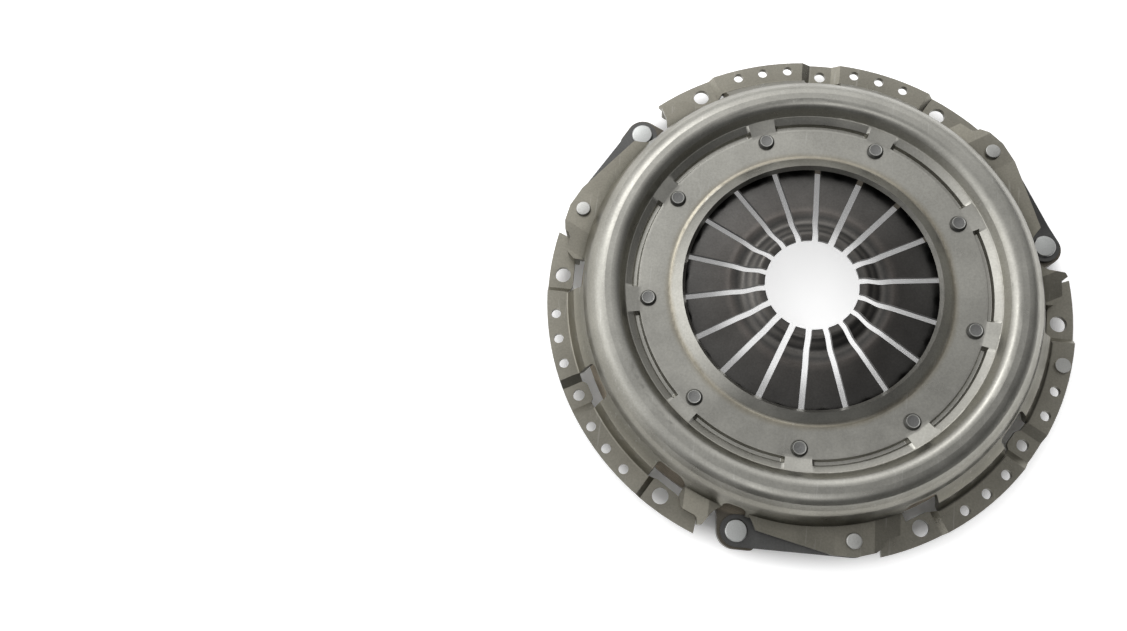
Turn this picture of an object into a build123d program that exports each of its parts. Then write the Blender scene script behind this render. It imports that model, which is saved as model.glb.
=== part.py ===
from build123d import *
import math
import os

os.makedirs("parts", exist_ok=True)

# Clutch cover assembly with diaphragm spring for a dry single-plate clutch.
# Origin: centre of the bolt pattern on the mounting plane that meets the
# flywheel. +Z points away from the flywheel, +Y runs through one dowel hole.
# Angles in this file are clockwise from +Y, seen from above. Millimetres.

# Pattern of the mounting flange, repeated three times round the axis
sectors = 3
sector_angle = 120.0
bolt_circle_r = 137.5
bolt_hole_d = 9.0
bolt_angle = 30.0
dowel_circle_r = 138.2
dowel_hole_d = 6.5
balance_circle_r = 140.2
balance_hole_d = 5.5
balance_angles = (8.0, 14.0, 20.0)

# Pressed steel cover
sheet = 3.0
flange_r = 145.3
balance_step = 3.5
window_r = 69.1
lip_top_z = 30.3
lip_foot_r = 75.6
crown_z = 26.0
crown_edge_r = 92.6
ledge_r = 100.2
ledge_z = 28.0
bulge_top_z = 34.9
bulge_in_r = 104.6
bulge_out_r = 114.6
shoulder_r = 121.0
shoulder_z = 28.0
crease_r = 123.6
crease_z = 21.5
wall_mid_r = 129.4
wall_mid_z = 15.0
wall_foot_r = 133.4
land_z = 14.0
land_drop = 2.5
wedge_rise = 2.5
wall_land_r = 126.4
pad_inner_r = 131.3
dowel_gap = 4.6
flange_end = 25.0
wall_start = 33.4
lug_gap = (68.6, 76.6)
end_land_angle = 43.4

# Diaphragm spring
finger_count = 18
spring_t = 2.6
spring_outer_r = 118.0
cone_deg = 9.34
spring_ref_r = 69.1
spring_ref_z = 23.5
slot_w = 3.3
window_w = 11.0
window_in_r = 82.2
window_out_r = 92.2
window_corner_r = 2.6
bend_r = 43.5
valley_r = 36.6
crest_r = 29.2
tip_r = 25.0
crest_rise = 4.9
bend_drop = 0.4
rib_w = 6.5
rib_in_r = 66.5
rib_out_r = 81.0
rib_depth = 0.9

# Fulcrum: nine shouldered rivets, one wire ring, nine pressed beads
rivet_count = 9
rivet_first_angle = -20.0
rivet_circle_r = 87.75
rivet_shank_d = 6.5
rivet_shoulder_d = 8.0
rivet_top_d = 9.1
rivet_top_h = 2.4
rivet_dimple = 0.7
rivet_collar_d = 16.0
rivet_collar_h = 2.6
ring_r = 93.85
ring_wire_d = 3.4
bead_r = 95.0
bead_floor_w = 2.2
bead_wall_deg = 36.0
bead_arc = 29.7

# Pressure plate
friction_z = -8.7
plate_in_r = 81.0
plate_out_r = 126.6
plate_rim_z = -0.8
plate_top_r = 122.0
plate_top_z = 4.0
plate_recess = 2.0
plate_recess_w = 6.0
ridge_in_r = 110.5
ridge_out_r = 117.0
ridge_gap_w = 14.0
edge_chamfer = 0.8
lug_angle = 71.56
lug_rivet_r = 135.2
lug_under_z = -4.9

# Leaf straps and their rivets
strap_angle = 46.0
strap_rivet_r = 134.7
leaf_t = 0.7
leaf_count = 3
leaf_w = 17.0
leaf_flat = 8.0
strap_shank_d = 7.0
strap_head_d = 13.5
strap_head_h = 2.0
strap_point_d = 8.4
strap_point_h = 2.0
head_edge_w = 0.9
head_edge_h = 0.7
lug_head_d = 11.55
lug_head_h = 1.8
lug_point_d = 8.5
lug_point_h = 1.7

# Balance rivet
balance_rivet_angle = 100.0
balance_head_d = 8.6
balance_head_h = 2.0
balance_tail_d = 7.6
balance_tail_h = 1.9
balance_draft = 8.0

# Clearances
rivet_fit = 0.02
strap_fit = 0.05
seat_gap = 0.03


def pt(r, a):
    """Plan point at radius r and clockwise angle a."""
    return (r * math.sin(math.radians(a)), r * math.cos(math.radians(a)))


def section_plane(a):
    """Vertical plane through the axis: local x is the radius, local y is +Z."""
    s = math.sin(math.radians(a))
    c = math.cos(math.radians(a))
    return Plane(origin=(0, 0, 0), x_dir=(s, c, 0), z_dir=(c, -s, 0))


def tangent_plane(r, a):
    """Plane across a radius: local x runs clockwise, local y is +Z, normal inward."""
    s = math.sin(math.radians(a))
    c = math.cos(math.radians(a))
    return Plane(origin=(r * s, r * c, 0), x_dir=(c, -s, 0), z_dir=(-s, -c, 0))


def spring_top(r):
    """Height of the spring's upper face on its cone."""
    return spring_ref_z - (r - spring_ref_r) * math.tan(math.radians(cone_deg))


spring_drop = spring_t / math.cos(math.radians(cone_deg))
balance_z = balance_step + sheet
bead_floor_z = spring_top(bead_r - (bead_floor_w + sheet) / 2) + seat_gap + sheet

# Leaf strap frame: origin at the cover rivet, x towards the lug rivet
strap_start = Vector(*pt(strap_rivet_r, strap_angle), 0)
strap_end = Vector(*pt(lug_rivet_r, lug_angle), 0)
strap_dir = (strap_end - strap_start).normalized()
strap_len = (strap_end - strap_start).length
strap_out = Vector(-strap_dir.Y, strap_dir.X, 0)
strap_side = Plane(origin=strap_start, x_dir=strap_dir, z_dir=-strap_out)
strap_plan = Plane(origin=strap_start, x_dir=strap_dir, z_dir=(0, 0, 1))
pack_t = leaf_t * leaf_count
pack_top_z = land_z - sheet
pack_low_z = plate_top_z

# Mirror plane half way between the two bolt holes of a sector
half_s = math.sin(math.radians(sector_angle / 2))
half_c = math.cos(math.radians(sector_angle / 2))
half_plane = Plane(origin=(0, 0, 0), x_dir=(half_s, half_c, 0), z_dir=(half_c, -half_s, 0))

# Flange pads

pad_overlap = 12.6
ramp_start = pad_overlap - 1.6
dowel_half_w = 6.4
bolt_ramp_foot = 8.2

with BuildPart() as dowel_pad:
    with BuildSketch(tangent_plane(flange_r + 2, 0)):
        with BuildLine():
            Polyline(
                (-pad_overlap, balance_z),
                (-ramp_start, balance_z),
                (-dowel_half_w, sheet),
                (dowel_half_w, sheet),
                (ramp_start, balance_z),
                (pad_overlap, balance_z),
                (pad_overlap, balance_step),
                (ramp_start, balance_step),
                (dowel_half_w, 0),
                (-dowel_half_w, 0),
                (-ramp_start, balance_step),
                (-pad_overlap, balance_step),
                close=True,
            )
        make_face()
    extrude(amount=flange_r - pad_inner_r + 4)
    with BuildSketch(Plane.XY.offset(-1)):
        Circle(flange_r)
        Circle(wall_foot_r, mode=Mode.SUBTRACT)
        with Locations((0, (pad_inner_r + flange_r) / 2)):
            RectangleRounded(2 * dowel_half_w, flange_r - pad_inner_r, 3.5)
    extrude(amount=balance_z + 2, mode=Mode.INTERSECT)
    with Locations((0, dowel_circle_r, 0)):
        Hole(dowel_hole_d / 2)

# Corner outline between a bolt pad and the strap land above it
step_line = [
    pt(pad_inner_r - 2.0, wall_start),
    pt(pad_inner_r + 0.6, wall_start),
    pt(136.9, 35.2),
    pt(136.9, 39.3),
    pt(flange_r + 1.5, 40.3),
]
step_radii = (1.5, 2.5, 3.0)

with BuildPart() as bolt_pad:
    with BuildSketch(tangent_plane(flange_r + 4, bolt_angle)):
        with BuildLine():
            Polyline(
                (-pad_overlap, balance_z),
                (-ramp_start, balance_z),
                (-bolt_ramp_foot, sheet),
                (30, sheet),
                (30, 0),
                (-bolt_ramp_foot, 0),
                (-ramp_start, balance_step),
                (-pad_overlap, balance_step),
                close=True,
            )
        make_face()
    extrude(amount=flange_r - pad_inner_r + 14)
    with BuildSketch(Plane.XY.offset(-1)):
        with BuildLine():
            FilletPolyline(
                pt(150, 24),
                pt(pad_inner_r + 2.6, 24.6),
                pt(pad_inner_r, 27.2),
                *step_line[1:],
                radius=(1.0, 4.0) + step_radii,
            )
            Line(step_line[-1], pt(150, 24))
        make_face()
        Circle(flange_r, mode=Mode.INTERSECT)
    extrude(amount=balance_z + 2, mode=Mode.INTERSECT)
    with Locations((*pt(bolt_circle_r, bolt_angle), 0)):
        Hole(bolt_hole_d / 2)


# Raised strap lands

land_lap = 0.8
land_half_w = 30.0
land_profile = [
    (-land_half_w, land_z - land_drop),
    (-24.0, land_z - land_drop),
    (-10.6, land_z),
    (9.6, land_z),
    (strap_len, land_z + wedge_rise),
]


def raised_land(outline, radii):
    """Sheet metal land over the straps, with a web down to the bolt pad."""
    with BuildPart() as web:
        with BuildSketch(Plane.XY):
            with BuildLine():
                FilletPolyline(*step_line, radius=step_radii)
                offset(amount=sheet, side=Side.RIGHT)
            make_face()
        extrude(amount=land_z)
        with BuildSketch(strap_side):
            with BuildLine():
                Polyline(*land_profile, (strap_len, -1), (-land_half_w, -1), close=True)
            make_face()
        extrude(amount=land_half_w, both=True, mode=Mode.INTERSECT)
        with BuildSketch(Plane.XY.offset(-1)):
            with BuildLine():
                FilletPolyline(*outline, radius=radii, close=True)
            make_face()
        extrude(amount=land_z + 4, mode=Mode.INTERSECT)
    with BuildPart() as land:
        with BuildSketch(strap_side):
            with BuildLine():
                Polyline(*land_profile)
                offset(amount=sheet, side=Side.RIGHT)
            make_face()
        extrude(amount=land_half_w, both=True)
        with BuildSketch(Plane.XY.offset(land_z - sheet - 6)):
            with BuildLine():
                FilletPolyline(*outline, radius=radii, close=True)
            make_face()
        extrude(amount=20, mode=Mode.INTERSECT)
        add(web.part)
    return land.part


def strap_pt(u, v):
    p = strap_start + strap_dir * u + strap_out * v
    return (p.X, p.Y)


strap_land = raised_land(
    [
        pt(wall_land_r - land_lap, wall_start),
        *step_line[1:4],
        pt(140.6, 39.9),
        strap_pt(-11.5, 5.0),
        strap_pt(-2.0, 8.0),
        strap_pt(10.5, 8.2),
        strap_pt(50.6, -0.6),
        strap_pt(52.4, -4.6),
        strap_pt(54.6, -8.6),
    ]
    + [pt(wall_land_r - land_lap, a) for a in (66.0, 60.0, 54.0, 48.0, 42.0, 37.0)],
    [0.0, 1.5, 2.5, 3.0, 1.0, 2.0, 3.0, 5.0, 0.8, 0.0, 0.0] + [0.0] * 6,
)
end_land = mirror(
    raised_land(
        [
            pt(wall_land_r - land_lap, wall_start),
            *step_line[1:4],
            pt(140.6, 39.9),
            pt(139.6, 40.9),
            pt(131.0, 41.9),
            pt(wall_land_r, end_land_angle),
            pt(wall_land_r - land_lap, end_land_angle),
            pt(wall_land_r - land_lap, 38.0),
        ],
        [0.0, 1.5, 2.5, 3.0, 0.5, 1.0, 4.0, 0.0, 0.0, 0.0],
    ),
    about=half_plane,
)

# Fulcrum beads pressed down between the rivets

bead_half = math.radians(bead_arc / 2)
bead_line = ThreePointArc(
    (-bead_r * math.sin(bead_half), bead_r * math.cos(bead_half)),
    (0, bead_r),
    (bead_r * math.sin(bead_half), bead_r * math.cos(bead_half)),
)

with BuildPart() as bead_body:
    with BuildSketch(Plane.XY.offset(bead_floor_z - sheet)):
        SlotArc(bead_line, bead_floor_w + sheet)
    extrude(amount=crown_z - bead_floor_z + sheet / 2, taper=-bead_wall_deg)

with BuildPart() as bead_groove:
    with BuildSketch(Plane.XY.offset(bead_floor_z)):
        SlotArc(bead_line, bead_floor_w)
    extrude(amount=ledge_z - bead_floor_z + 0.8, taper=-bead_wall_deg)

# Cover

with BuildPart() as cover:
    with BuildSketch(Plane.XZ):
        with BuildLine():
            FilletPolyline(
                (window_r, lip_top_z),
                (lip_foot_r, crown_z),
                (crown_edge_r, crown_z),
                (ledge_r, ledge_z),
                (bulge_in_r, bulge_top_z),
                (bulge_out_r, bulge_top_z),
                (shoulder_r, shoulder_z),
                (crease_r, crease_z),
                (wall_mid_r, wall_mid_z),
                (wall_foot_r, balance_z),
                (flange_r, balance_z),
                radius=(4.0, 5.0, 1.0, 6.0, 8.0, 12.0, 0.0, 3.0, 1.2),
            )
            offset(amount=sheet, side=Side.RIGHT)
        make_face()
    revolve(axis=Axis.Z)
    # the flange and wall stay whole only at the balance hole sections
    for k in range(sectors):
        for start, end in ((-dowel_gap, dowel_gap), (flange_end, sector_angle - flange_end)):
            with BuildSketch(section_plane(end + k * sector_angle)):
                with BuildLine():
                    Polyline(
                        (shoulder_r - 6, crease_z),
                        (flange_r + 5, crease_z),
                        (flange_r + 5, -1),
                        (shoulder_r - 6, -1),
                        close=True,
                    )
                make_face()
            revolve(axis=Axis.Z, revolution_arc=end - start, mode=Mode.SUBTRACT)
    # steep wall from the crease down to the strap lands
    for k in range(sectors):
        for start, end in ((wall_start, lug_gap[0]), (lug_gap[1], sector_angle - wall_start)):
            with BuildSketch(section_plane(end + k * sector_angle)):
                with BuildLine():
                    Polyline(
                        (crease_r, crease_z),
                        (wall_land_r, land_z + 1.2),
                        (wall_land_r, land_z - sheet),
                        (wall_land_r - 1.6, land_z - sheet),
                        (wall_land_r - sheet, land_z - 0.4),
                        (crease_r - sheet - 0.1, crease_z),
                        close=True,
                    )
                make_face()
            revolve(axis=Axis.Z, revolution_arc=end - start)
    with PolarLocations(0, sectors):
        add(dowel_pad.part)
        add(bolt_pad.part)
        add(mirror(bolt_pad.part, about=half_plane, mode=Mode.PRIVATE))
        add(strap_land)
        add(end_land)
    with PolarLocations(0, rivet_count):
        add(bead_body.part)
        add(bead_groove.part, mode=Mode.SUBTRACT)
    # rivet and balance holes
    with Locations((0, 0, crown_z)):
        with PolarLocations(rivet_circle_r, rivet_count, start_angle=90 - rivet_first_angle):
            Hole(rivet_shank_d / 2 + rivet_fit, depth=sheet + 1)
    with PolarLocations(0, sectors):
        for a in balance_angles + tuple(sector_angle - b for b in balance_angles):
            with Locations((*pt(balance_circle_r, a), balance_z)):
                Hole(balance_hole_d / 2, depth=sheet + 1)
        with Locations((*pt(strap_rivet_r, strap_angle), land_z + 1)):
            Hole(strap_shank_d / 2 + rivet_fit, depth=sheet + 2)

cover.part.label = "cover"
export_step(cover.part, "parts/cover.step")

# Diaphragm spring

cone_sin = math.sin(math.radians(cone_deg))
cone_cos = math.cos(math.radians(cone_deg))
rib_mid_r = (rib_in_r + rib_out_r) / 2
valley_z = spring_top(bend_r) - bend_drop

with BuildPart() as diaphragm_spring:
    with BuildSketch(Plane.XZ):
        with BuildLine():
            FilletPolyline(
                (spring_outer_r, spring_top(spring_outer_r)),
                (bend_r, spring_top(bend_r)),
                (valley_r, valley_z),
                (crest_r, valley_z + crest_rise),
                (tip_r, valley_z + crest_rise - bend_drop),
                radius=(8.0, 5.0, 4.0),
            )
            offset(amount=spring_t, side=Side.LEFT)
        make_face()
    revolve(axis=Axis.Z)
    # slots between the fingers end in rounded windows
    with BuildSketch(Plane.XY):
        with PolarLocations(0, finger_count, start_angle=90):
            with Locations((window_in_r / 2 + 6, 0)):
                Rectangle(window_in_r - 8, slot_w)
            with Locations(((window_in_r + window_out_r) / 2, 0)):
                RectangleRounded(window_out_r - window_in_r, window_w, window_corner_r)
    extrude(amount=60, mode=Mode.SUBTRACT)
    # stiffening rib pressed down in every finger
    for k in range(finger_count):
        a = (k + 0.5) * 360 / finger_count
        s = math.sin(math.radians(a))
        c = math.cos(math.radians(a))
        top = Plane(
            origin=(rib_mid_r * s, rib_mid_r * c, spring_top(rib_mid_r)),
            x_dir=(s * cone_cos, c * cone_cos, -cone_sin),
            z_dir=(s * cone_sin, c * cone_sin, cone_cos),
        )
        with BuildSketch(top.offset(-spring_t - rib_depth)):
            SlotOverall(rib_out_r - rib_in_r, rib_w - 2 * rib_depth)
        extrude(amount=rib_depth + spring_t / 2, taper=-40)
        with BuildSketch(top.offset(-rib_depth)):
            SlotOverall(rib_out_r - rib_in_r - spring_t, rib_w - 3 * rib_depth)
        extrude(amount=rib_depth + 1, taper=-40, mode=Mode.SUBTRACT)

diaphragm_spring.part.label = "diaphragm_spring"
export_step(diaphragm_spring.part, "parts/diaphragm_spring.step")

# Fulcrum ring and rivets

wire_r = ring_wire_d / 2
ring_z = spring_top(ring_r) - spring_drop - (wire_r + seat_gap) / cone_cos
collar_z = ring_z - wire_r - seat_gap

with BuildPart() as fulcrum_ring:
    with BuildSketch(Plane.XZ):
        with Locations((ring_r, ring_z)):
            Circle(wire_r)
    revolve(axis=Axis.Z)

fulcrum_ring.part.label = "fulcrum_ring"
export_step(fulcrum_ring.part, "parts/fulcrum_ring.step")

with BuildPart() as rivet:
    with BuildSketch(Plane.XZ):
        with BuildLine():
            Polyline(
                (0, collar_z - rivet_collar_h),
                (rivet_collar_d / 2 - 1.0, collar_z - rivet_collar_h),
                (rivet_collar_d / 2, collar_z - rivet_collar_h + 0.8),
                (rivet_collar_d / 2, collar_z),
                (rivet_shoulder_d / 2, collar_z),
                (rivet_shoulder_d / 2, crown_z - sheet),
                (rivet_shank_d / 2, crown_z - sheet),
                (rivet_shank_d / 2, crown_z),
                (rivet_top_d / 2, crown_z),
                (rivet_top_d / 2 - 0.2, crown_z + 0.9),
                (rivet_top_d / 2 - 1.5, crown_z + rivet_top_h),
                (1.6, crown_z + rivet_top_h),
                (0.9, crown_z + rivet_top_h - rivet_dimple),
                (0, crown_z + rivet_top_h - rivet_dimple),
                close=True,
            )
        make_face()
    revolve(axis=Axis.Z)

for k in range(rivet_count):
    with BuildPart() as fulcrum_rivet:
        with Locations((*pt(rivet_circle_r, rivet_first_angle + k * 360 / rivet_count), 0)):
            add(rivet.part)
    fulcrum_rivet.part.label = f"fulcrum_rivet_{k + 1}"
    export_step(fulcrum_rivet.part, f"parts/fulcrum_rivet_{k + 1}.step")

# Pressure plate

ridge_peak_r = (ridge_in_r + ridge_out_r) / 2 + 0.6
ridge_peak_z = spring_top(ridge_peak_r) - spring_drop - seat_gap
lug_plan = Plane(
    origin=strap_end + Vector(0, 0, lug_under_z), x_dir=strap_dir, z_dir=(0, 0, 1)
)

with BuildPart() as lug:
    with BuildSketch(lug_plan):
        with BuildLine():
            FilletPolyline(
                (-13.5, -17.0),
                (-12.0, -9.0),
                (-9.5, 9.7),
                (9.7, 9.7),
                (10.4, -8.0),
                (13.0, -17.0),
                radius=(3.0, 2.0, 9.4, 3.0),
            )
            Line((13.0, -17.0), (-13.5, -17.0))
        make_face()
    extrude(amount=plate_top_z - lug_under_z)
    with Locations(strap_end):
        Hole(strap_shank_d / 2 + rivet_fit)

with BuildPart() as pressure_plate:
    with BuildSketch(Plane.XZ):
        with BuildLine():
            Polyline(
                (plate_in_r + edge_chamfer, friction_z),
                (plate_out_r - edge_chamfer, friction_z),
                (plate_out_r, friction_z + edge_chamfer),
                (plate_out_r, plate_rim_z),
                (plate_top_r, plate_top_z - 1.0),
                (plate_top_r - 1.0, plate_top_z),
                (plate_in_r + plate_recess_w + 1.0, plate_top_z),
                (plate_in_r + plate_recess_w, plate_top_z - plate_recess),
                (plate_in_r + edge_chamfer, plate_top_z - plate_recess),
                (plate_in_r, plate_top_z - plate_recess - edge_chamfer),
                (plate_in_r, friction_z + edge_chamfer),
                close=True,
            )
        make_face()
    revolve(axis=Axis.Z)
    # ridge that the spring presses on
    with BuildSketch(Plane.XZ):
        with BuildLine():
            FilletPolyline(
                (ridge_in_r - 1.2, plate_top_z - 1.0),
                (ridge_in_r, plate_top_z + 1.0),
                (ridge_in_r + 0.6, ridge_peak_z - 1.2),
                (ridge_peak_r, ridge_peak_z + 0.07),
                (ridge_out_r - 0.4, ridge_peak_z - 1.6),
                (ridge_out_r, plate_top_z + 1.0),
                (ridge_out_r + 1.2, plate_top_z - 1.0),
                radius=(1.0, 1.0, 3.0, 1.0, 1.0),
            )
            Line((ridge_out_r + 1.2, plate_top_z - 1.0), (ridge_in_r - 1.2, plate_top_z - 1.0))
        make_face()
    revolve(axis=Axis.Z)
    # gaps in the ridge let air through
    with BuildSketch(Plane.XY.offset(plate_top_z + 1.2)):
        with PolarLocations((ridge_in_r + ridge_out_r) / 2, rivet_count, start_angle=90):
            Rectangle(ridge_out_r - ridge_in_r + 6, ridge_gap_w)
    extrude(amount=ridge_peak_z, taper=-8, mode=Mode.SUBTRACT)
    # three lugs carry the leaf straps
    with PolarLocations(0, sectors):
        add(lug.part)
        with Locations(strap_end):
            Hole(strap_shank_d / 2 + rivet_fit, depth=plate_top_z - lug_under_z + 1)

pressure_plate.part.label = "pressure_plate"
export_step(pressure_plate.part, "parts/pressure_plate.step")

# Leaf straps, three leaves in each of three packs

top_leaf_z = pack_low_z + seat_gap + pack_t
bend_start = leaf_flat
bend_end = strap_len - leaf_flat

with BuildPart() as leaf:
    with BuildSketch(strap_side):
        with BuildLine():
            Polyline(
                (-leaf_w, pack_top_z),
                (bend_start, pack_top_z),
                (bend_end, top_leaf_z),
                (strap_len + leaf_w, top_leaf_z),
                (strap_len + leaf_w, top_leaf_z - leaf_t),
                (bend_end, top_leaf_z - leaf_t),
                (bend_start, pack_top_z - leaf_t),
                (-leaf_w, pack_top_z - leaf_t),
                close=True,
            )
        make_face()
    extrude(amount=leaf_w, both=True)
    with BuildSketch(strap_plan):
        with Locations((strap_len / 2, 0)):
            SlotCenterToCenter(strap_len, leaf_w)
        with Locations((0, 0), (strap_len, 0)):
            Circle(strap_shank_d / 2 + strap_fit, mode=Mode.SUBTRACT)
    extrude(amount=land_z, mode=Mode.INTERSECT)

for j in range(sectors):
    for k in range(leaf_count):
        with BuildPart() as strap_leaf:
            with PolarLocations(0, 1, start_angle=-j * sector_angle):
                with Locations((0, 0, -k * leaf_t)):
                    add(leaf.part)
        strap_leaf.part.label = f"strap_{j + 1}_leaf_{k + 1}"
        export_step(strap_leaf.part, f"parts/strap_{j + 1}_leaf_{k + 1}.step")


# Solid rivets


def solid_rivet(low_d, low_h, low_z, top_d, top_h, top_z):
    """Rivet with a shank between two heads, both heads slightly rounded."""
    with BuildPart() as body:
        with BuildSketch(Plane.XZ):
            with BuildLine():
                Polyline(
                    (0, low_z - low_h),
                    (low_d / 2 - head_edge_w, low_z - low_h),
                    (low_d / 2, low_z - low_h + head_edge_h),
                    (low_d / 2, low_z),
                    (strap_shank_d / 2, low_z),
                    (strap_shank_d / 2, top_z),
                    (top_d / 2, top_z),
                    (top_d / 2, top_z + top_h - head_edge_h),
                    (top_d / 2 - head_edge_w, top_z + top_h),
                    (0, top_z + top_h),
                    close=True,
                )
            make_face()
        revolve(axis=Axis.Z)
    return body.part


strap_rivet = solid_rivet(
    strap_head_d, strap_head_h, pack_top_z - pack_t, strap_point_d, strap_point_h, land_z
)
lug_rivet = solid_rivet(
    lug_point_d, lug_point_h, lug_under_z, lug_head_d, lug_head_h, top_leaf_z
)

for j in range(sectors):
    with BuildPart() as cover_end:
        with PolarLocations(0, 1, start_angle=-j * sector_angle):
            with Locations(strap_start):
                add(strap_rivet)
    cover_end.part.label = f"strap_rivet_{j + 1}"
    export_step(cover_end.part, f"parts/strap_rivet_{j + 1}.step")
    with BuildPart() as lug_end:
        with PolarLocations(0, 1, start_angle=-j * sector_angle):
            with Locations(strap_end):
                add(lug_rivet)
    lug_end.part.label = f"lug_rivet_{j + 1}"
    export_step(lug_end.part, f"parts/lug_rivet_{j + 1}.step")

with BuildPart() as balance_rivet:
    with BuildSketch(Plane.XY.offset(balance_step)):
        with Locations(pt(balance_circle_r, balance_rivet_angle)):
            Circle(balance_hole_d / 2 - rivet_fit)
    extrude(amount=sheet)
    with BuildSketch(Plane.XY.offset(balance_z)):
        with Locations(pt(balance_circle_r, balance_rivet_angle)):
            Circle(balance_head_d / 2)
    extrude(amount=balance_head_h, taper=balance_draft)
    with BuildSketch(Plane.XY.offset(balance_step)):
        with Locations(pt(balance_circle_r, balance_rivet_angle)):
            Circle(balance_tail_d / 2)
    extrude(amount=-balance_tail_h, taper=balance_draft)

balance_rivet.part.label = "balance_rivet"
export_step(balance_rivet.part, "parts/balance_rivet.step")
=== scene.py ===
"""Looks of a clutch cover assembly, seen as in the right-hand half of the photo.

Materials, bent sheets, turned rivets, pressed beads, opening edges, floor, light and camera.
Lengths are in metres and angles in degrees, clockwise from +Y.
"""

import math

import bpy
from mathutils import Euler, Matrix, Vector


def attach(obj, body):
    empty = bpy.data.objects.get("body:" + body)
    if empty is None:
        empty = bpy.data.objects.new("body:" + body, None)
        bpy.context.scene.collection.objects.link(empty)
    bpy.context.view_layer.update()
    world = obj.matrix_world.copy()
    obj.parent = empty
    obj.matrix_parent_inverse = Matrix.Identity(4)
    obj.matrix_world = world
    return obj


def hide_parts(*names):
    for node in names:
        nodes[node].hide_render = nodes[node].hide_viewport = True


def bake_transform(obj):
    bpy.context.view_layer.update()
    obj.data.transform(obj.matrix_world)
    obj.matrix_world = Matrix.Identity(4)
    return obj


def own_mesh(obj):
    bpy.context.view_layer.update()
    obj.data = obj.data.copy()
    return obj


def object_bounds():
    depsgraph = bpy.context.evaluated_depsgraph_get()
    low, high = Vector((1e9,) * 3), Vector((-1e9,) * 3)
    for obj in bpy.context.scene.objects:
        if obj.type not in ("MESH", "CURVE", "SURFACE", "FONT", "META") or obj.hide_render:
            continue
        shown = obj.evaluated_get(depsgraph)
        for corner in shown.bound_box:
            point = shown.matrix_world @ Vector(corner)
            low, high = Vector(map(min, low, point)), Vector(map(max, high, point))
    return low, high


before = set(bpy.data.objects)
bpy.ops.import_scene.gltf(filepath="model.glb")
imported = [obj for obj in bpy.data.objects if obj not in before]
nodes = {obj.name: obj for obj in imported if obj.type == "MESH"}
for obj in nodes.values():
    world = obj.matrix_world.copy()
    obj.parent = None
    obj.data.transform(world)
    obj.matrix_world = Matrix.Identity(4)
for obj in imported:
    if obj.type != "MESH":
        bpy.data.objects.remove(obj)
cad_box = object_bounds()
COVER = "cover_assembly"
PLATE = "plate_assembly"

MM = 0.001
TINY = 1e-7

# Driving sizes, repeated from the CAD model: diaphragm spring
FINGERS = 18
SPRING_T = 2.6 * MM
SPRING_OUT_R = 118.0 * MM
CONE = math.radians(9.34)
SPRING_REF_R = 69.1 * MM
SPRING_REF_Z = 23.5 * MM
SLOT_W = 3.3 * MM
WINDOW_W = 11.0 * MM
WINDOW_IN_R = 82.2 * MM
WINDOW_OUT_R = 92.2 * MM
WINDOW_CORNER = 2.6 * MM
BEND_R = 43.5 * MM
VALLEY_R = 36.6 * MM
VALLEY_DROP = 0.4 * MM
CREST_R = 29.2 * MM
CREST_RISE = 4.9 * MM
TIP_R = 25.0 * MM
TIP_DROP = 0.4 * MM
RIB_IN_R = 66.5 * MM
RIB_OUT_R = 81.0 * MM
RIB_W = 6.5 * MM
RIB_DEPTH = 0.9 * MM
RIB_SIDE_W = 1.2 * MM
FULCRUM_R = 94.0 * MM

# Straps
SECTORS = 3
SECTOR = 360.0 / SECTORS
LEAVES = 3
LEAF_T = 0.7 * MM
LEAF_GAP = 0.02 * MM
LEAF_W = 17.0 * MM
LEAF_FLAT = 8.0 * MM
STRAP_ANGLE = 46.0
STRAP_R = 134.7 * MM
LUG_ANGLE = 71.56
LUG_R = 135.2 * MM
PACK_TOP_Z = 11.0 * MM
PACK_LOW_Z = PACK_TOP_Z - LEAVES * LEAF_T
LUG_SEAT_Z = 4.03 * MM
LUG_TOP_Z = LUG_SEAT_Z + LEAVES * LEAF_T
LUG_UNDER_Z = -4.9 * MM

# Cover
SHEET = 3.0 * MM
LAND_Z = 14.0 * MM
CROWN_Z = 26.0 * MM
CROWN_EDGE_R = 92.6 * MM
CROWN_BEND = 5.0 * MM
LEDGE_R = 100.2 * MM
LEDGE_Z = 28.0 * MM
BULGE_TOP_R = 104.6 * MM
BULGE_TOP_Z = 34.9 * MM
BULGE_SLOPE = (BULGE_TOP_Z - LEDGE_Z) / (BULGE_TOP_R - LEDGE_R)
CREASE_R = 123.6 * MM
CREASE_Z = 21.5 * MM
WALL_R = 125.0 * MM
BALANCE_FOOT_R = 129.4 * MM
BALANCE_FOOT_Z = 15.0 * MM
BALANCE_LEAN = (BALANCE_FOOT_R - CREASE_R) / (CREASE_Z - BALANCE_FOOT_Z)
LAND_FOOT_R = 126.4 * MM
LAND_FOOT_Z = 15.2 * MM
LAND_LEAN = (LAND_FOOT_R - CREASE_R) / (CREASE_Z - LAND_FOOT_Z)
PATTERN_R = 146.0 * MM

# Fulcrum rivets and their wire ring
RIVETS = 9
RIVET_STEP = 360.0 / RIVETS
RIVET_FIRST = -20.0
RIVET_R = 87.75 * MM
RING_R = 93.85 * MM
RING_WIRE_R = 1.7 * MM
SEAT_GAP = 0.03 * MM
COLLAR_R = 8.0 * MM
COLLAR_T = 2.6 * MM
WAIST_R = 4.0 * MM
NECK_R = 3.25 * MM

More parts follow.
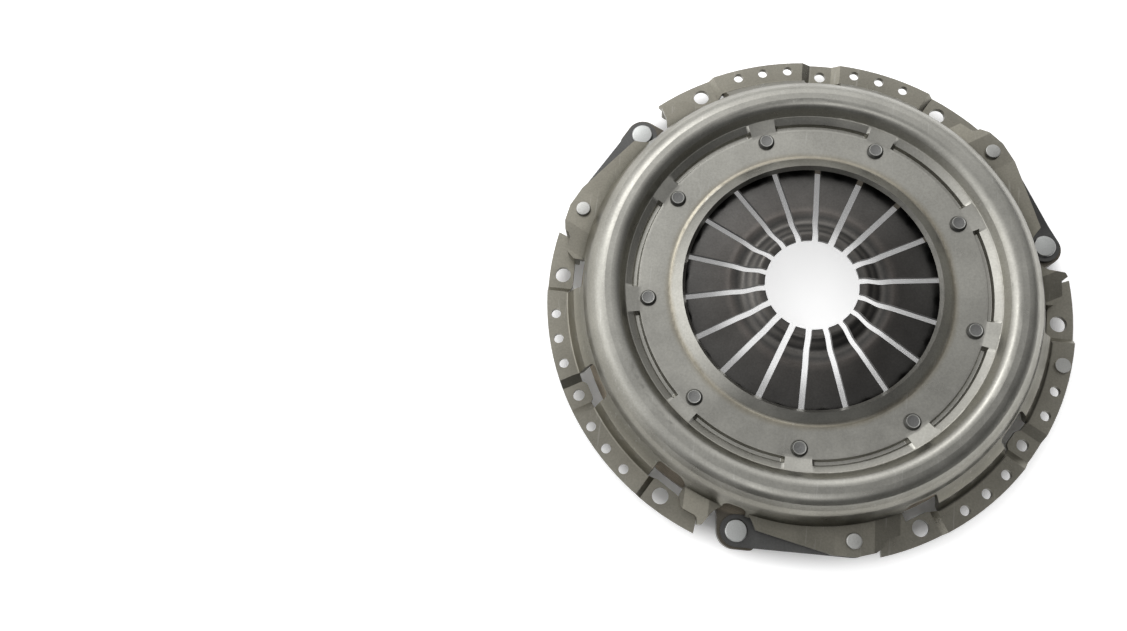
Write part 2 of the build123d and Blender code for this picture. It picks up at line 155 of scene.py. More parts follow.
# Heads of the rivets, as the photo shows them: radius, and height above the seat
HEAD_R = 4.55 * MM
HEAD_SIDE_R = 4.40 * MM
HEAD_SIDE_H = 1.0 * MM
HEAD_FACE_R = 3.45 * MM
HEAD_H = 2.4 * MM
DISH_R = 3.15 * MM
DISH_FLOOR_R = 3.0 * MM
DISH_DEPTH = 0.2 * MM
FACE_ZONE_R = 2.9 * MM
# Outer edge of the ring of painted highlight round each fulcrum rivet's face
RIM_HIGHLIGHT_R = 3.7 * MM
SHANK_R = 3.5 * MM
PACK_HEAD = (6.75 * MM, 2.0 * MM)
LAND_HEAD = (4.2 * MM, 2.0 * MM)
LAND_HEAD_ZONE_R = 4.3 * MM
LUG_FOOT_HEAD = (4.25 * MM, 1.7 * MM)
LUG_HEAD = (6.1 * MM, 1.9 * MM)
HEAD_EDGE_H = 0.5 * MM
HEAD_EDGE_SHARE = 0.985
HEAD_FLAT_SHARE = 0.90

# Bead beside each fulcrum rivet, as the photo shows it
BEAD_IN_R = 93.9 * MM
BEAD_OUT_R = 95.75 * MM
BEAD_FLOOR_Z = 22.73 * MM
BEAD_ARC = 29.7
BEAD_SIDE_LEAN = math.tan(math.radians(15.0))
FACET_Z = 25.2 * MM
FACET_OUT_R = 99.8 * MM
SKIN_IN_R = 91.35 * MM
SKIN_PAST_LEDGE = 0.9 * MM
SKIN_T = 0.3 * MM
SKIN_LIFT = 0.04 * MM
SKIN_SINK = 0.5 * MM
END_WALL_H = 5.6 * MM
END_WALL_FOOT = 1.0 * MM
END_WALL_W = 1.7 * MM
BORDER_TURN = 3.05
BORDER_FLARE = 1.5

# Openings in the cover's wall, as the photo shows them: angles in the first sector
WINDOW_Z = 20.7 * MM
WINDOW_CORNERS = (2.0 * MM, 7.0 * MM)
BOLT_WINDOW = (24.9, 33.5)
DOWEL_WINDOW = (-4.7, 4.7)
DOWEL_CORNER = 3.0 * MM
LUG_SIDE_START = 68.5
LUG_SIDE_Z = LAND_Z - 1.0 * MM
LUG_ARCH = (70.8, 76.7)
ARCH_Z = 20.0 * MM
ARCH_CORNER = 4.5 * MM
EDGE_OVERLAP = 0.1 * MM
EDGE_PROUD = 0.03 * MM


def spring_top(r):
    """Height of the spring's upper face on its cone."""
    return SPRING_REF_Z - (r - SPRING_REF_R) * math.tan(CONE)


def plan(r, degrees):
    """Point at a radius and an angle."""
    a = math.radians(degrees)
    return Vector((r * math.sin(a), r * math.cos(a), 0.0))


# Materials


class Tree:
    """Builds one node material from short calls."""

    def __init__(self, name):
        self.material = bpy.data.materials.new(name)
        self.material.use_nodes = True
        self.nodes = self.material.node_tree.nodes
        self.links = self.material.node_tree.links
        self.shader = self.nodes["Principled BSDF"]
        self.place = self.nodes.new("ShaderNodeTexCoord").outputs["Object"]

    def set(self, **values):
        for key, value in values.items():
            self.shader.inputs[key.replace("_", " ")].default_value = value

    def link(self, output, socket):
        self.links.new(output, socket)

    def noise(self, scale, detail, rough=0.55, stretch=None, turn=0.0):
        node = self.nodes.new("ShaderNodeTexNoise")
        node.inputs["Scale"].default_value = scale
        node.inputs["Detail"].default_value = detail
        node.inputs["Roughness"].default_value = rough
        source = self.place
        if stretch:
            mapping = self.nodes.new("ShaderNodeMapping")
            mapping.inputs["Scale"].default_value = stretch
            mapping.inputs["Rotation"].default_value = (0.0, 0.0, math.radians(turn))
            self.link(self.place, mapping.inputs["Vector"])
            source = mapping.outputs["Vector"]
        self.link(source, node.inputs["Vector"])
        return node.outputs["Fac"]

    def radius(self):
        """Distance from the object's axis."""
        flat = self.nodes.new("ShaderNodeVectorMath")
        flat.operation = "MULTIPLY"
        flat.inputs[1].default_value = (1.0, 1.0, 0.0)
        self.link(self.place, flat.inputs[0])
        length = self.nodes.new("ShaderNodeVectorMath")
        length.operation = "LENGTH"
        self.link(flat.outputs["Vector"], length.inputs[0])
        return length.outputs["Value"]

    def seen(self):
        """One for rays from the camera, off metal or through glass, and nought for the object's light."""
        path = self.nodes.new("ShaderNodeLightPath").outputs
        both = self.math("MAXIMUM", path["Is Camera Ray"], path["Is Glossy Ray"])
        return self.math("MAXIMUM", both, path["Is Transmission Ray"])

    def noise_1d(self, value, scale):
        node = self.nodes.new("ShaderNodeTexNoise")
        node.noise_dimensions = "1D"
        node.inputs["Scale"].default_value = scale
        node.inputs["Detail"].default_value = 3.0
        self.link(value, node.inputs["W"])
        return node.outputs["Fac"]

    def ramp(self, source, stops):
        node = self.nodes.new("ShaderNodeValToRGB")
        while len(node.color_ramp.elements) < len(stops):
            node.color_ramp.elements.new(0.5)
        for element, (at, value) in zip(node.color_ramp.elements, stops):
            shade = value if isinstance(value, tuple) else (value, value, value)
            element.position = at
            element.color = (*shade, 1.0)
        self.link(source, node.inputs["Fac"])
        return node.outputs["Color"]

    def mix(self, factor, first, second, kind):
        node = self.nodes.new("ShaderNodeMix")
        node.data_type = "RGBA"
        node.blend_type = kind
        node.inputs[0].default_value = factor
        self.link(first, node.inputs[6])
        self.link(second, node.inputs[7])
        return node.outputs[2]

    def math(self, kind, first, second):
        node = self.nodes.new("ShaderNodeMath")
        node.operation = kind
        for socket, value in zip(node.inputs, (first, second)):
            if isinstance(value, bpy.types.NodeSocket):
                self.link(value, socket)
            else:
                socket.default_value = value
        return node.outputs[0]

    def bump(self, height, strength, distance):
        node = self.nodes.new("ShaderNodeBump")
        node.inputs["Strength"].default_value = strength
        node.inputs["Distance"].default_value = distance
        self.link(height, node.inputs["Height"])
        self.link(node.outputs["Normal"], self.shader.inputs["Normal"])

    def color(self, output):
        self.link(output, self.shader.inputs["Base Color"])

    def rough(self, output):
        self.link(output, self.shader.inputs["Roughness"])


def metal(name, tone, spread, rough, grain=900.0, bump=0.05, light_and_tone_bands=None, rings=None, scratches=()):
    """Bare steel: blotchy tone and fine grain in colour, roughness and bump.

    bands tints it by the distance from the axis, rings adds fine turning marks, and
    Bands by radius tint it with painted shade and painted highlights, and in places a tone
    of its own; rings adds fine turning marks, and scratches adds a layer of straight marks at each angle.
    """
    t = Tree(name)
    t.set(Metallic=1.0)
    dark = tuple(c * (1.0 - spread) for c in tone)
    light = tuple(c * (1.0 + spread) for c in tone)
    blotch_and_painted_light = t.ramp(t.noise(28.0, 6.0), [(0.30, dark), (0.52, tone), (0.75, light)])
    # Bands by radius: painted shade and painted highlights, and in places the metal's own tone
    if light_and_tone_bands:
        reach = t.math("DIVIDE", t.radius(), PATTERN_R)
        wander = t.math("MULTIPLY", t.math("SUBTRACT", t.noise(45.0, 4.0), 0.5), 0.02)
        stops = [(r / PATTERN_R, value) for r, value in light_and_tone_bands]
        blotch_and_painted_light = t.mix(1.0, blotch_and_painted_light, t.ramp(t.math("ADD", reach, wander), stops), "MULTIPLY")
    fine = t.noise(grain, 3.0, 0.7)
    color = t.mix(0.20, blotch_and_painted_light, t.ramp(fine, [(0.35, 0.25), (0.65, 1.0)]), "MULTIPLY")
    for turn in scratches:
        scratch = t.noise(500.0, 2.0, 0.6, stretch=(1.0, 0.05, 1.0), turn=turn)
        color = t.mix(0.07, color, t.ramp(scratch, [(0.66, 0.0), (0.74, 1.0)]), "SCREEN")
    height = fine
    if rings:
        marks = t.noise_1d(t.radius(), rings)
        color = t.mix(0.35, color, t.ramp(marks, [(0.35, 0.45), (0.65, 1.0)]), "MULTIPLY")
        height = t.math("ADD", fine, marks)
    t.color(color)
    t.rough(t.ramp(t.noise(60.0, 5.0), [(0.3, rough - 0.07), (0.7, rough + 0.08)]))
    t.bump(height, bump, 0.0002)
    return t.material


PLAIN = (1.0, 1.0, 1.0)

cover_steel = metal(
    "cover_steel",
    (0.385, 0.378, 0.345),
    0.13,
    0.33,
    scratches=(25.0, 100.0),
    # Bands of painted shade by radius on the cover
    light_and_tone_bands=[
        (0.0, PLAIN),
        (0.0735, PLAIN),
        # painted shade: brownish band at the lip's foot
        (0.0758, (0.80, 0.75, 0.66)),
        (0.0790, PLAIN),
        (0.0990, PLAIN),
        # painted shade: dark line along the ledge crease
        (0.1010, (0.84, 0.83, 0.80)),
        (0.1045, PLAIN),
        (0.1145, PLAIN),
        # painted shade: the bulge's outer slope darkening into the crease at the wall's foot, then a
        # darker flange
        (0.1190, (0.74, 0.73, 0.70)),
        (0.1225, (0.46, 0.45, 0.42)),
        (0.1262, (0.42, 0.41, 0.37)),
        (0.1305, (0.60, 0.58, 0.53)),
        (0.1453, (0.72, 0.70, 0.65)),
    ],
)
spring_steel = metal(
    "spring_steel",
    (0.080, 0.078, 0.075),
    0.25,
    0.36,
    bump=0.12,
    # Painted highlights and painted shade: light and dark bands across the fingers' bends, a little
    # darker further out
    light_and_tone_bands=[
        (0.025, PLAIN),
        (0.0285, (1.5, 1.45, 1.4)),
        (0.031, (0.8, 0.8, 0.8)),
        (0.0325, (1.7, 1.65, 1.6)),
        (0.035, (0.75, 0.75, 0.75)),
        (0.0375, (1.8, 1.75, 1.7)),
        (0.040, (0.9, 0.9, 0.9)),
        (0.0435, (1.5, 1.4, 1.35)),
        (0.047, (1.0, 0.97, 0.95)),
        (0.070, (0.85, 0.85, 0.85)),
    ],
)
ring_wire = metal("ring_wire", (0.30, 0.30, 0.29), 0.1, 0.35)
cast_plate = metal(
    "cast_plate",
    (0.27, 0.235, 0.185),
    0.12,
    0.42,
    rings=2600.0,
    # Lugs outside the plate's rim: a greyer tone of their own, darkened as painted shade
    light_and_tone_bands=[(0.1265, PLAIN), (0.1285, (0.50, 0.52, 0.55))],
)
strap_steel = metal("strap_steel", (0.10, 0.10, 0.098), 0.15, 0.38)
# Darker copy of the rivet steel for the fulcrum rivets' sides and shanks: painted shade
shaded_rivet_side = metal("shaded_rivet_side", (0.13, 0.13, 0.125), 0.15, 0.38)
rivet_face = metal("rivet_face", (0.20, 0.20, 0.195), 0.3, 0.45, grain=1500.0, bump=0.5)
# Bright ring at the edge of each fulcrum rivet's face: painted highlight
rivet_rim_highlight = metal("rivet_rim_highlight", (0.42, 0.42, 0.40), 0.2, 0.35)
rivet_steel = metal("rivet_steel", (0.22, 0.22, 0.21), 0.15, 0.35)
stamped_rivet = metal("stamped_rivet", (0.50, 0.50, 0.48), 0.25, 0.40, grain=1300.0, bump=0.5)
bright_rivet = metal("bright_rivet", (0.50, 0.51, 0.50), 0.15, 0.36, grain=1500.0, bump=0.25)


def dress(name, material):
    """Gives a CAD piece its material."""
    data = nodes[name].data
    data.materials.clear()
    data.materials.append(material)


dress("cover", cover_steel)
dress("fulcrum_ring", ring_wire)
dress("pressure_plate", cast_plate)
dress("balance_rivet", stamped_rivet)


# Sheet pieces: the spring's fingers and rim, and the strap leaves


def rounded(points, radii, steps=6):
    """Polyline through (r, z) points with each inner corner turned into an arc."""
    path = [Vector(points[0])]
    for before, corner, after, radius in zip(points, points[1:], points[2:], radii):
        corner = Vector(corner)
        back = (Vector(before) - corner).normalized()
        on = (Vector(after) - corner).normalized()
        half = back.angle(on) / 2
        run = radius / math.tan(half)
        start, end = corner + back * run, corner + on * run
        centre = corner + (back + on).normalized() * (radius / math.sin(half))
        for k in range(steps + 1):
            ray = (start - centre).lerp(end - centre, k / steps)
            path.append(centre + ray.normalized() * radius)
    path.append(Vector(points[-1]))
    return path


def resample(path, r_list):
    """Adds to the path the points where it crosses the given radii."""
    out = []
    for a, b in zip(path, path[1:]):
        out.append(a)
        inside = [r for r in r_list if min(a.x, b.x) + TINY < r < max(a.x, b.x) - TINY]
        inside.sort(reverse=a.x > b.x)
        out += [a.lerp(b, (r - a.x) / (b.x - a.x)) for r in inside]
    out.append(path[-1])
    closest = 0.005 * MM
    return [p for k, p in enumerate(out) if k == 0 or (p - out[k - 1]).length > closest]


def gap_half_width(r):
    """Half the free width between two fingers at a radius."""
    if r < WINDOW_IN_R:
        return SLOT_W / 2
    if r >= WINDOW_OUT_R:
        return 0.0
    edge = min(r - WINDOW_IN_R, WINDOW_OUT_R - r)
    if edge < WINDOW_CORNER:
        side = WINDOW_CORNER - edge
        return WINDOW_W / 2 - WINDOW_CORNER + math.sqrt(WINDOW_CORNER**2 - side**2)
    return WINDOW_W / 2


def rib_depth(r, across):
    """Depth of the pressed rib at a radius and a distance from the finger's middle line."""
    half = RIB_W / 2
    inner, outer = RIB_IN_R + half, RIB_OUT_R - half
    along = max(inner - r, r - outer, 0.0)
    away = math.hypot(along, across)
    return RIB_DEPTH * min(1.0, max(0.0, (half - away) / RIB_SIDE_W))


def grid_faces(rows, columns, base=0):
    """Quads between rows of points, each row holding one point more than there are columns."""
    faces = []
    for r in range(rows - 1):
        for c in range(columns):
            first = base + r * (columns + 1) + c
            faces.append((first, first + columns + 1, first + columns + 2, first + 1))
    return faces


def piece_object(name, data):
    """Puts a mesh, lamp or camera into the scene."""
    obj = bpy.data.objects.new(name, data)
    bpy.context.scene.collection.objects.link(obj)
    return obj


def sheet_object(name, verts, faces, thickness, bevel):
    """Open sheet from points, thickened downwards, with softened edges."""
    mesh = bpy.data.meshes.new(name)
    mesh.from_pydata(verts, [], faces)
    mesh.update()
    for polygon in mesh.polygons:
        polygon.use_smooth = True
    obj = piece_object(name, mesh)
    weld = obj.modifiers.new("weld", "WELD")
    weld.merge_threshold = 1e-6
    thick = obj.modifiers.new("thickness", "SOLIDIFY")
    thick.thickness = thickness
    thick.offset = -1.0
    soft = obj.modifiers.new("edge", "BEVEL")
    soft.width = bevel
    soft.segments = 2
    soft.limit_method = "ANGLE"
    soft.angle_limit = math.radians(50)
    soft.harden_normals = True
    return obj


def spring_rows():
    """Points of the spring's upper face along a finger, from the rim to the tip."""
    valley_z = spring_top(BEND_R) - VALLEY_DROP
    crest_z = valley_z + CREST_RISE
    path = rounded(
        [
            (SPRING_OUT_R, spring_top(SPRING_OUT_R)),
            (BEND_R, spring_top(BEND_R)),
            (VALLEY_R, valley_z),
            (CREST_R, crest_z),
            (TIP_R, crest_z - TIP_DROP),
        ],
        [8.0 * MM, 5.0 * MM, 4.0 * MM],
    )
    step = 1.5 * MM
    count = int((SPRING_OUT_R - BEND_R) / step)
    radii = [SPRING_OUT_R - step * k for k in range(1, count)]
    corner = [WINDOW_CORNER * (1 - math.cos(math.radians(15 * k))) for k in range(7)]
    radii += [WINDOW_IN_R + c for c in corner] + [WINDOW_OUT_R - c for c in corner]
    nudge = 0.02 * MM
    radii += [WINDOW_IN_R - nudge, WINDOW_OUT_R + nudge, FULCRUM_R]
    return resample(path, sorted(set(radii)))


def spring_part(name, low_r, high_r):
    """All eighteen fingers, or the ring outside them, between two radii."""
    rows = [p for p in spring_rows() if low_r - TINY <= p.x <= high_r + TINY]
    columns = 14
    verts, faces = [], []
    for finger in range(FINGERS):
        middle = math.radians((finger + 0.5) * 360.0 / FINGERS)
        base = len(verts)
        for point in rows:
            half = math.pi / FINGERS - math.asin(gap_half_width(point.x) / point.x)
            for c in range(columns + 1):
                turn = half * (2.0 * c / columns - 1.0)
                across = point.x * math.sin(turn)
                a = middle + turn
                z = point.y - rib_depth(point.x * math.cos(turn), across)
                verts.append((point.x * math.sin(a), point.x * math.cos(a), z))
        faces += grid_faces(len(rows), columns, base)
    obj = sheet_object(name, verts, faces, SPRING_T, bevel=0.25 * MM)
    obj.data.materials.append(spring_steel)
    return obj


fingers = spring_part("spring_fingers", TIP_R, FULCRUM_R)
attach(fingers, COVER)
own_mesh(fingers)
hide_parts("diaphragm_spring")

rim = spring_part("spring_rim", FULCRUM_R, SPRING_OUT_R)
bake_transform(rim)
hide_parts("diaphragm_spring")


def strap_leaf(sector, level):
    """One leaf of a pack, from the cover rivet to the lug rivet."""
    name = f"leaf_{sector + 1}_{level + 1}"
    start = plan(STRAP_R, STRAP_ANGLE + SECTOR * sector)
    end = plan(LUG_R, LUG_ANGLE + SECTOR * sector)
    along = (end - start).normalized()
    out = Vector((-along.y, along.x, 0.0))
    length = (end - start).length
    half = LEAF_W / 2
    bend_in, bend_out = LEAF_FLAT, length - LEAF_FLAT
    spans = 24
    steps = [half * (1 - math.cos(math.radians(10 * k))) for k in range(10)]
    stations = [-half + s for s in steps]
    stations += [length * k / spans for k in range(1, spans)]
    stations += [length + half - s for s in reversed(steps)]
    columns = 8
    verts = []
    for u in stations:
        reach = max(-u, u - length, 0.0)
        width = math.sqrt(max(half**2 - reach**2, 1e-10))
        share = min(1.0, max(0.0, (u - bend_in) / (bend_out - bend_in)))
        z = PACK_TOP_Z + (LUG_TOP_Z - PACK_TOP_Z) * share - level * LEAF_T
        for c in range(columns + 1):
            v = width * (2.0 * c / columns - 1.0)
            point = start + along * u + out * v
            verts.append((point.x, point.y, z))
    faces = grid_faces(len(stations), columns)
    obj = sheet_object(name, verts, faces, LEAF_T - LEAF_GAP, bevel=0.08 * MM)
    obj.data.materials.append(strap_steel)
    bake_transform(obj)
    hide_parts(f"strap_{sector + 1}_leaf_{level + 1}")


for sector in range(SECTORS):
    for level in range(LEAVES):
        strap_leaf(sector, level)


# Rivets, turned about their own axis


def turned(name, outline, radii, centre, zones):
    """Piece turned from a closed (r, z) outline.

    zones are (inner radius, outer radius, material): the first is the whole piece, and
    the others are rings of its top face.
    """
    segments = 48
    face_depth = 0.4 * MM
    path = rounded(outline, radii, steps=3)
    top = max(p.y for p in path)
    verts, faces, kinds, rings = [], [], [], []
    for point in path:
        count = segments if point.x > TINY else 1
        rings.append([len(verts) + k for k in range(count)])
        for k in range(count):
            a = 2.0 * math.pi * k / segments
            verts.append((centre.x + point.x * math.cos(a), centre.y + point.x * math.sin(a), point.y))
    for lower, upper, p, q in zip(rings, rings[1:], path, path[1:]):
        kind = 0
        for number, (inner, outer, _) in enumerate(zones[1:], 1):
            if min(p.y, q.y) > top - face_depth and inner <= (p.x + q.x) / 2 < outer:
                kind = number
        for k in range(segments):
            m = (k + 1) % segments
            if len(lower) == 1:
                faces.append((lower[0], upper[m], upper[k]))
            elif len(upper) == 1:
                faces.append((lower[k], lower[m], upper[0]))
            else:
                faces.append((lower[k], lower[m], upper[m], upper[k]))
            kinds.append(kind)
    mesh = bpy.data.meshes.new(name)
    mesh.from_pydata(verts, [], faces)
    for zone in zones:
        mesh.materials.append(zone[2])
    for polygon, kind in zip(mesh.polygons, kinds):
        polygon.material_index = kind
        polygon.use_smooth = True
    mesh.update()
    mesh.set_sharp_from_angle(angle=math.radians(35))
    return piece_object(name, mesh)


ring_z = spring_top(RING_R) - (SPRING_T + RING_WIRE_R + SEAT_GAP) / math.cos(CONE)
collar_z = ring_z - RING_WIRE_R - SEAT_GAP


def fulcrum_rivet(number):
    """Shouldered rivet with a dished head on the crown."""
    seat_z = CROWN_Z - SHEET
    head_z = CROWN_Z + HEAD_H
    outline_and_radii = [
        ((0.0, collar_z - COLLAR_T), 0.0),
        ((COLLAR_R, collar_z - COLLAR_T), 0.8),
        ((COLLAR_R, collar_z), 0.1),
        ((WAIST_R, collar_z), 0.1),
        ((WAIST_R, seat_z), 0.1),
        ((NECK_R, seat_z), 0.1),
        ((NECK_R, CROWN_Z), 0.1),
        ((HEAD_R, CROWN_Z), 0.1),
        ((HEAD_SIDE_R, CROWN_Z + HEAD_SIDE_H), 0.4),
        ((HEAD_FACE_R, head_z), 0.12),
        ((DISH_R, head_z), 0.1),
        ((DISH_FLOOR_R, head_z - DISH_DEPTH), 0.1),
        ((0.0, head_z - DISH_DEPTH), 0.0),
    ]
    piece = turned(
        f"pivot_rivet_{number}",
        [point for point, _ in outline_and_radii],
        [radius * MM for _, radius in outline_and_radii[1:-1]],
        plan(RIVET_R, RIVET_FIRST + RIVET_STEP * (number - 1)),
        (
            # body and sides in the darker copy: painted shade
            (0.0, 0.0, shaded_rivet_side),
            (0.0, FACE_ZONE_R, rivet_face),
            # ring of painted highlight round the face
            (FACE_ZONE_R, RIM_HIGHLIGHT_R, rivet_rim_highlight),
        ),
    )
    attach(piece, COVER)
    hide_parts(f"fulcrum_rivet_{number}")


for number in range(1, RIVETS + 1):
    fulcrum_rivet(number)


def solid_rivet(name, centre, low_seat, low_head, top_seat, top_head, zones):
    """Rivet with a shank between two heads, each head given as radius and height."""
    low_r, low_h = low_head
    top_r, top_h = top_head
    top_z = top_seat + top_h
    outline_and_radii = [
        ((0.0, low_seat - low_h), 0.0),
        ((low_r, low_seat - low_h), 0.6),
        ((low_r, low_seat), 0.1),
        ((SHANK_R, low_seat), 0.1),
        ((SHANK_R, top_seat), 0.1),
        ((top_r, top_seat), 0.1),
        ((top_r * HEAD_EDGE_SHARE, top_z - HEAD_EDGE_H), 0.5),
        ((top_r * HEAD_FLAT_SHARE, top_z), 0.4),
        ((0.0, top_z), 0.0),
    ]
    outline = [point for point, _ in outline_and_radii]
    radii = [radius * MM for _, radius in outline_and_radii[1:-1]]
    return turned(name, outline, radii, centre, zones)


for number in range(1, SECTORS + 1):
    turn = SECTOR * (number - 1)
    piece = solid_rivet(
        f"land_rivet_{number}",
        plan(STRAP_R, STRAP_ANGLE + turn),
        PACK_LOW_Z,
        PACK_HEAD,
        LAND_Z,
        LAND_HEAD,
        ((0.0, 0.0, rivet_steel), (0.0, LAND_HEAD_ZONE_R, stamped_rivet)),
    )
    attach(piece, COVER)
    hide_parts(f"strap_rivet_{number}")
    piece = solid_rivet(
        f"ear_rivet_{number}",
        plan(LUG_R, LUG_ANGLE + turn),
        LUG_UNDER_Z,
        LUG_FOOT_HEAD,
        LUG_TOP_Z,
        LUG_HEAD,
        ((0.0, 0.0, bright_rivet),),
    )
    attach(piece, PLATE)
    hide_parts(f"lug_rivet_{number}")


# Pressed beads, as a skin over the cover's wider grooves


def crown_height(r):
    """Height of the plain crown at a radius, with its soft bend into the slope."""
    slope = (LEDGE_Z - CROWN_Z) / (LEDGE_R - CROWN_EDGE_R)
    lean = math.atan(slope)
    start = CROWN_EDGE_R - CROWN_BEND * math.tan(lean / 2)
    if r < start:
        return CROWN_Z
    if r < start + CROWN_BEND * math.sin(lean):
        return CROWN_Z + CROWN_BEND - math.sqrt(CROWN_BEND**2 - (r - start) ** 2)
    if r > LEDGE_R:
        return LEDGE_Z + (r - LEDGE_R) * BULGE_SLOPE
    return CROWN_Z + (r - CROWN_EDGE_R) * slope


def bead_section():
    """Section of the skin across a bead: (r, z) points from the crown to past the ledge."""
    depth = CROWN_Z - BEAD_FLOOR_Z
    corner_radii = (0.35, 0.30, 0.30, 0.40, 0.05, 0.40)
    section = rounded(
        [
            (SKIN_IN_R, CROWN_Z),
            (BEAD_IN_R - depth * BEAD_SIDE_LEAN, CROWN_Z),
            (BEAD_IN_R, BEAD_FLOOR_Z),
            (BEAD_OUT_R, BEAD_FLOOR_Z),
            (BEAD_OUT_R + (FACET_Z - BEAD_FLOOR_Z) * BEAD_SIDE_LEAN, FACET_Z),
            (FACET_OUT_R, crown_height(FACET_OUT_R)),
            (LEDGE_R, LEDGE_Z),
            (LEDGE_R + SKIN_PAST_LEDGE, LEDGE_Z + SKIN_PAST_LEDGE * BULGE_SLOPE),
        ],
        [r * MM for r in corner_radii],
    )
    return [section[0]] + section + [section[-1]]


def bead_stations():
    """Angles along a bead from its middle, each with the height that its end wall reaches there."""
    top_z = BEAD_FLOOR_Z + END_WALL_H
    wall = rounded(
        [
            (-END_WALL_FOOT, BEAD_FLOOR_Z),
            (0.0, BEAD_FLOOR_Z),
            (END_WALL_H * BEAD_SIDE_LEAN, top_z),
            (END_WALL_W, top_z),
        ],
        [0.5 * MM, 0.1 * MM],
    )
    wall = [(math.degrees(p.x / BEAD_IN_R), p.y) for p in wall]
    wall += [(turn, top_z) for turn in (2.0, BORDER_TURN, BORDER_TURN + 0.02)]
    end = BEAD_ARC / 2
    stations = [(-end - turn, z) for turn, z in reversed(wall)]
    stations += [(-end + 1.0 * k, 0.0) for k in range(1, int(BEAD_ARC))]
    return stations + [(end + turn, z) for turn, z in wall]


def bead_skin(index):
    """Thin skin with one bead in it, whose borders sink into the cover."""
    section = bead_section()
    stations = bead_stations()
    border = BEAD_ARC / 2 + BORDER_TURN - 0.05
    verts = []
    for r, p in enumerate(section):
        for c, (turn, low) in enumerate(stations):
            z = max(p.y, min(crown_height(p.x), low)) + SKIN_LIFT
            if r in (0, len(section) - 1) or c in (0, len(stations) - 1):
                z -= SKIN_SINK
            if abs(turn) > border and p.x > CROWN_EDGE_R:
                turn += math.copysign(BORDER_FLARE, turn)
            place = plan(p.x, RIVET_STEP * index + turn)
            verts.append((place.x, place.y, z))
    mesh = bpy.data.meshes.new(f"bead_{index + 1}")
    mesh.from_pydata(verts, [], grid_faces(len(section), len(stations) - 1))
    mesh.update()
    if max(mesh.polygons, key=lambda polygon: polygon.area).normal.z < 0:
        mesh.flip_normals()
    for polygon in mesh.polygons:
        polygon.use_smooth = True
    mesh.set_sharp_from_angle(angle=math.radians(40))
    mesh.materials.append(cover_steel)
    obj = piece_object(f"bead_{index + 1}", mesh)
    thick = obj.modifiers.new("thickness", "SOLIDIFY")
    thick.thickness = SKIN_T
    thick.offset = -1.0
    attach(obj, COVER)


for index in range(RIVETS):
    bead_skin(index)


# Rounded tops of the openings in the cover's wall


def opening_edge(name, start, end, top_z, corners, leans):
    """Strip of wall between the crease and the edge of an opening.

    corners are the radii at the opening's two ends, and leans is how far the wall
    leans outwards there for each metre down.
    """
    span = math.radians(end - start) * WALL_R
    steps = [span / 2 * (1 - math.cos(math.radians(7.5 * k))) for k in range(25)]
    rows = 5
    crest_z = CREASE_Z - EDGE_OVERLAP
    verts = []
    for s in steps:
        low = top_z
        for gap, radius in zip((s, span - s), corners):
            if gap < radius:
                low -= radius - math.sqrt(max(radius**2 - (radius - gap) ** 2, 0.0))
        lean = leans[0] + (leans[1] - leans[0]) * s / span
        for k in range(rows):
            z = crest_z + (low - crest_z) * k / (rows - 1)
            r = CREASE_R + (CREASE_Z - z) * lean - EDGE_PROUD
            point = plan(r, start + (end - start) * s / span)
            verts.append((point.x, point.y, z))
    faces = grid_faces(len(steps), rows - 1)
    obj = sheet_object(name, verts, faces, SHEET, bevel=0.35 * MM)
    outward = plan(1.0, (start + end) / 2)
    if obj.data.polygons[len(faces) // 2].normal.dot(outward) < 0:
        obj.data.flip_normals()
    obj.data.materials.append(cover_steel)
    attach(obj, COVER)


BALANCE_SIDE = (BALANCE_LEAN, BALANCE_LEAN)
LAND_SIDE = (LAND_LEAN, LAND_LEAN)
openings = [
    ("bolt_window_{}_1", BOLT_WINDOW, WINDOW_Z, WINDOW_CORNERS, (BALANCE_LEAN, LAND_LEAN)),
    (
        "bolt_window_{}_2",
        (SECTOR - BOLT_WINDOW[1], SECTOR - BOLT_WINDOW[0]),
        WINDOW_Z,
        WINDOW_CORNERS[::-1],
        (LAND_LEAN, BALANCE_LEAN),
    ),
    ("dowel_window_{}", DOWEL_WINDOW, WINDOW_Z, (DOWEL_CORNER, DOWEL_CORNER), BALANCE_SIDE),
    ("lug_side_{}", (LUG_SIDE_START, LUG_ARCH[0]), LUG_SIDE_Z, (0.0, 0.0), LAND_SIDE),
    ("lug_arch_{}", LUG_ARCH, ARCH_Z, (ARCH_CORNER, ARCH_CORNER), LAND_SIDE),
]
for sector in range(SECTORS):
    turn = SECTOR * sector
    for name, (start, end), top_z, corners, leans in openings:
        opening_edge(name.format(sector + 1), start + turn, end + turn, top_z, corners, leans)


# Floor, light and camera

FLOOR_Z = cad_box[0].z
FLOOR_REACH = 6.0
FLOOR_GLOW = 0.62
# Glow by distance from the axis: full in the middle hole and out past the product, taken down under it as
# a painted shadow
FLOOR_GLOW_SHADOW_AT = [
    (0.040, 1.0),
    (0.052, 0.5),
    (0.080, 0.4),
    (0.090, 0.0),
    (0.136, 0.0),
    (0.150, 1.0),
]


def pale_floor():
    """White floor that shows its glow to the camera and to reflections, with the glow taken down under
    the product as a painted shadow.
    """
    s = FLOOR_REACH
    mesh = bpy.data.meshes.new("floor")
    mesh.from_pydata([(-s, -s, 0), (s, -s, 0), (s, s, 0), (-s, s, 0)], [], [(0, 1, 2, 3)])
    floor = piece_object("floor", mesh)
    floor.location.z = FLOOR_Z
    t = Tree("pale_floor")
    t.set(Base_Color=(0.88, 0.88, 0.88, 1.0), Roughness=0.9, Emission_Color=(1.0, 1.0, 1.0, 1.0))
    # the ramp paints the product's shadow into the glow
    glow = t.math("MULTIPLY", t.seen(), t.ramp(t.radius(), FLOOR_GLOW_SHADOW_AT))
    t.link(t.math("MULTIPLY", glow, FLOOR_GLOW), t.shader.inputs["Emission Strength"])
    mesh.materials.append(t.material)


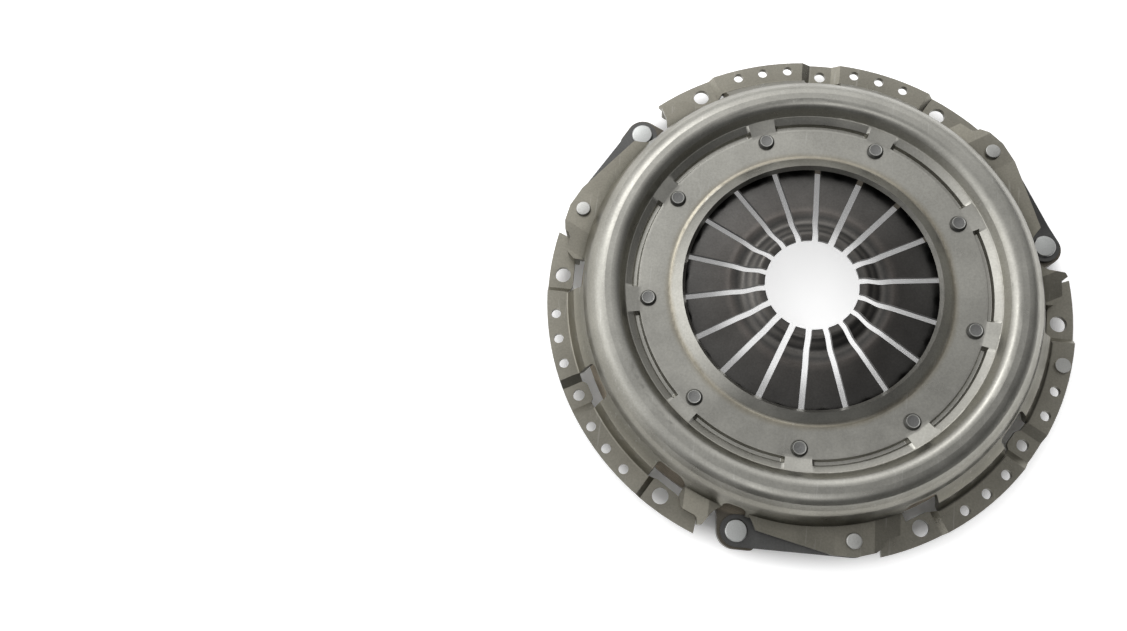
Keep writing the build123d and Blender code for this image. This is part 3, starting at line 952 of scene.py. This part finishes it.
def key_light(place, size, power):
    """Rectangular lamp aimed at the product."""
    data = bpy.data.lights.new("key", "AREA")
    data.shape = "RECTANGLE"
    data.size, data.size_y = size
    data.energy = power
    lamp = piece_object("key", data)
    lamp.location = place
    lamp.rotation_euler = (-Vector(place)).to_track_quat("-Z", "Y").to_euler()


def world_light(base, fields, glossy_share):
    """Soft studio surround: an even level plus broad bright fields, and white to the camera.

    Each field is a direction, a sharpness and a strength. glossy_share is how much of
    that white the metal reflects in place of the fields.
    """
    world = bpy.data.worlds.new("studio")
    bpy.context.scene.world = world
    world.use_nodes = True
    tree = world.node_tree
    place = tree.nodes.new("ShaderNodeTexCoord").outputs["Generated"]

    def calc(kind, first, second):
        node = tree.nodes.new("ShaderNodeMath")
        node.operation = kind
        tree.links.new(first, node.inputs[0])
        if isinstance(second, float):
            node.inputs[1].default_value = second
        else:
            tree.links.new(second, node.inputs[1])
        return node.outputs[0]

    total = None
    for direction, sharpness, strength in fields:
        dot = tree.nodes.new("ShaderNodeVectorMath")
        dot.operation = "DOT_PRODUCT"
        dot.inputs[1].default_value = Vector(direction).normalized()
        tree.links.new(place, dot.inputs[0])
        lobe = calc("POWER", calc("MAXIMUM", dot.outputs["Value"], 0.0), sharpness)
        lobe = calc("MULTIPLY", lobe, strength)
        total = calc("ADD", lobe, base if total is None else total)
    path = tree.nodes.new("ShaderNodeLightPath").outputs
    glossy = calc("MULTIPLY", path["Is Glossy Ray"], glossy_share)
    seen = calc("MAXIMUM", path["Is Camera Ray"], glossy)
    seen = calc("MAXIMUM", seen, path["Is Transmission Ray"])
    unseen = calc("MULTIPLY", calc("SUBTRACT", seen, 1.0), -1.0)
    total = calc("ADD", calc("MULTIPLY", unseen, total), seen)
    background = tree.nodes["Background"]
    background.inputs["Color"].default_value = (1.0, 1.0, 1.0, 1.0)
    tree.links.new(total, background.inputs["Strength"])


def photo_camera():
    """Camera that puts the product where the right-hand half of the photo shows it."""
    data = bpy.data.cameras.new("camera")
    data.sensor_width = 36.0
    data.lens = 31.172
    data.clip_start = 0.01
    camera = piece_object("camera", data)
    camera.location = (-0.07169, -0.15889, 0.54306)
    turn = (14.6314, 4.7324, 7.3661)
    camera.rotation_euler = Euler([math.radians(degrees) for degrees in turn], "XYZ")
    bpy.context.scene.camera = camera


pale_floor()
world_light(
    base=0.04,
    fields=[
        ((-0.85, 0.05, 0.50), 4.0, 2.3),
        ((0.02, 0.80, 0.55), 4.0, 1.5),
        ((0.05, -0.42, 0.90), 36.0, 2.2),
    ],
    glossy_share=0.12,
)
key_light(place=(-0.7, 0.9, 1.3), size=(0.9, 0.5), power=4.0)
photo_camera()
bpy.context.scene.view_settings.view_transform = "Standard"

bpy.context.view_layer.update()
